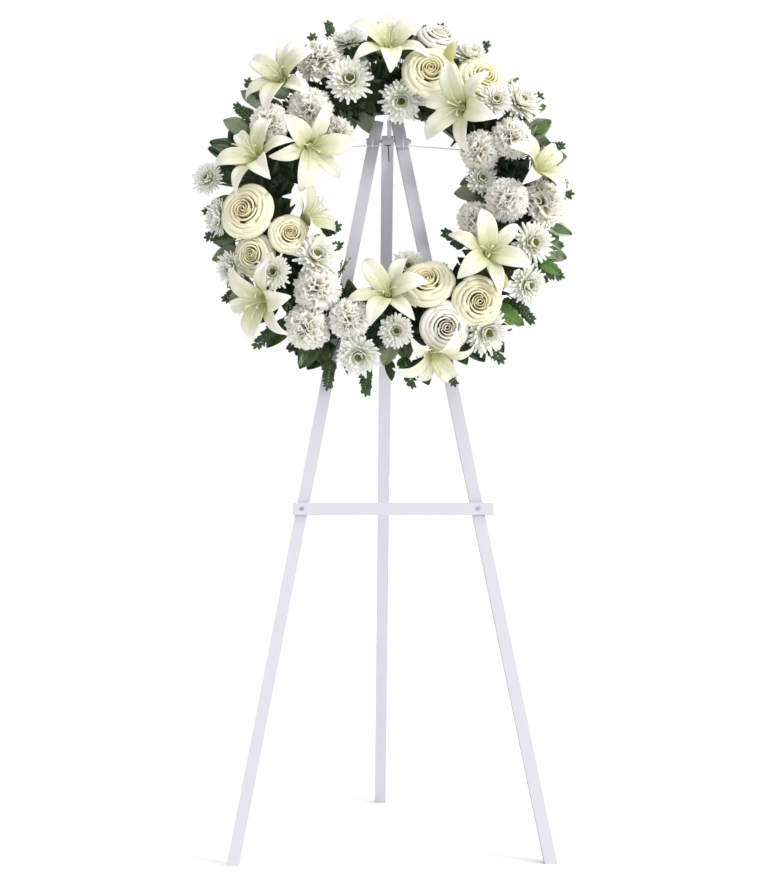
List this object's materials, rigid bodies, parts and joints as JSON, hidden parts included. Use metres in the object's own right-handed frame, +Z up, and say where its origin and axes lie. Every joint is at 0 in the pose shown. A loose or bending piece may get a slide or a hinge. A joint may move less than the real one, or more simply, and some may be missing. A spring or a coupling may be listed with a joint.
{
  "type": "funeral wreath on easel",
  "caption": "Ring of white lilies, roses, carnations and chrysanthemums in floral foam, hung on a folding white wooden easel.",
  "frame": {"origin": "middle of the footprint on the ground, under the centre of the overall box", "axes": "+Z up, -Y towards the viewer (the flowers' side), +X to the viewer's right"},
  "size_m": [0.584, 0.605, 1.3529],
  "materials": {
    "painted_wood": "white satin paint",
    "white_enamel": "white enamel",
    "zinc_steel": "zinc plated",
    "green_wire": "dark green enamelled florist wire",
    "floral_foam": "wet open-cell foam",
    "green_tray": "matt moulded plastic",
    "lily_petal": "smooth cream petal, green-yellow throat",
    "rose_petal": "soft creamy yellow petal",
    "carnation_petal": "ruffled cream petal",
    "mum_petal": "white petal, green centre",
    "salal_leaf": "dark glossy leaf",
    "sage_leaf": "felted grey-green leaf"
  },
  "bodies": {
    "front_frame": {"front_leg_left": "painted_wood", "front_leg_right": "painted_wood", "crossbar": "painted_wood", "screw_hook_left": "white_enamel", "screw_hook_right": "white_enamel", "crossbar_screw_left": "white_enamel", "crossbar_screw_right": "white_enamel", "pivot_bolt": "zinc_steel", "pivot_nut": "zinc_steel", "hanging_wire": "green_wire", "foam_ring": "floral_foam", "base_tray": "green_tray", "lily_1": "lily_petal", "lily_2": "lily_petal", "lily_3": "lily_petal", "lily_4": "lily_petal", "lily_5": "lily_petal", "lily_6": "lily_petal", "lily_7": "lily_petal", "lily_8": "lily_petal", "lily_9": "lily_petal", "lily_10": "lily_petal", "lily_11": "lily_petal", "rose_1": "rose_petal", "rose_2": "rose_petal", "rose_3": "rose_petal", "rose_4": "rose_petal", "rose_5": "rose_petal", "rose_6": "rose_petal", "rose_7": "rose_petal", "rose_8": "rose_petal", "rose_9": "rose_petal", "carnation_1": "carnation_petal", "carnation_2": "carnation_petal", "carnation_3": "carnation_petal", "carnation_4": "carnation_petal", "carnation_5": "carnation_petal", "carnation_6": "carnation_petal", "carnation_7": "carnation_petal", "carnation_8": "carnation_petal", "carnation_9": "carnation_petal", "carnation_10": "carnation_petal", "carnation_11": "carnation_petal", "carnation_12": "carnation_petal", "mum_1": "mum_petal", "mum_2": "mum_petal", "mum_3": "mum_petal", "mum_4": "mum_petal", "mum_5": "mum_petal", "mum_6": "mum_petal", "mum_7": "mum_petal", "mum_8": "mum_petal", "mum_9": "mum_petal", "salal_spray_1": "salal_leaf", "salal_spray_2": "salal_leaf", "salal_spray_3": "salal_leaf", "salal_spray_4": "salal_leaf", "sage_spray_1": "sage_leaf", "sage_spray_2": "sage_leaf"},
    "rear_leg": {"rear_leg": "painted_wood"}
  },
  "joints": [
    {"name": "rear_leg_fold", "type": "hinge", "parent": "front_frame", "child": "rear_leg", "pos_m": [-0.00093, -0.09061, 1.14722], "axis": [1, 0, 0], "range_deg": [-28, 0]}
  ]
}
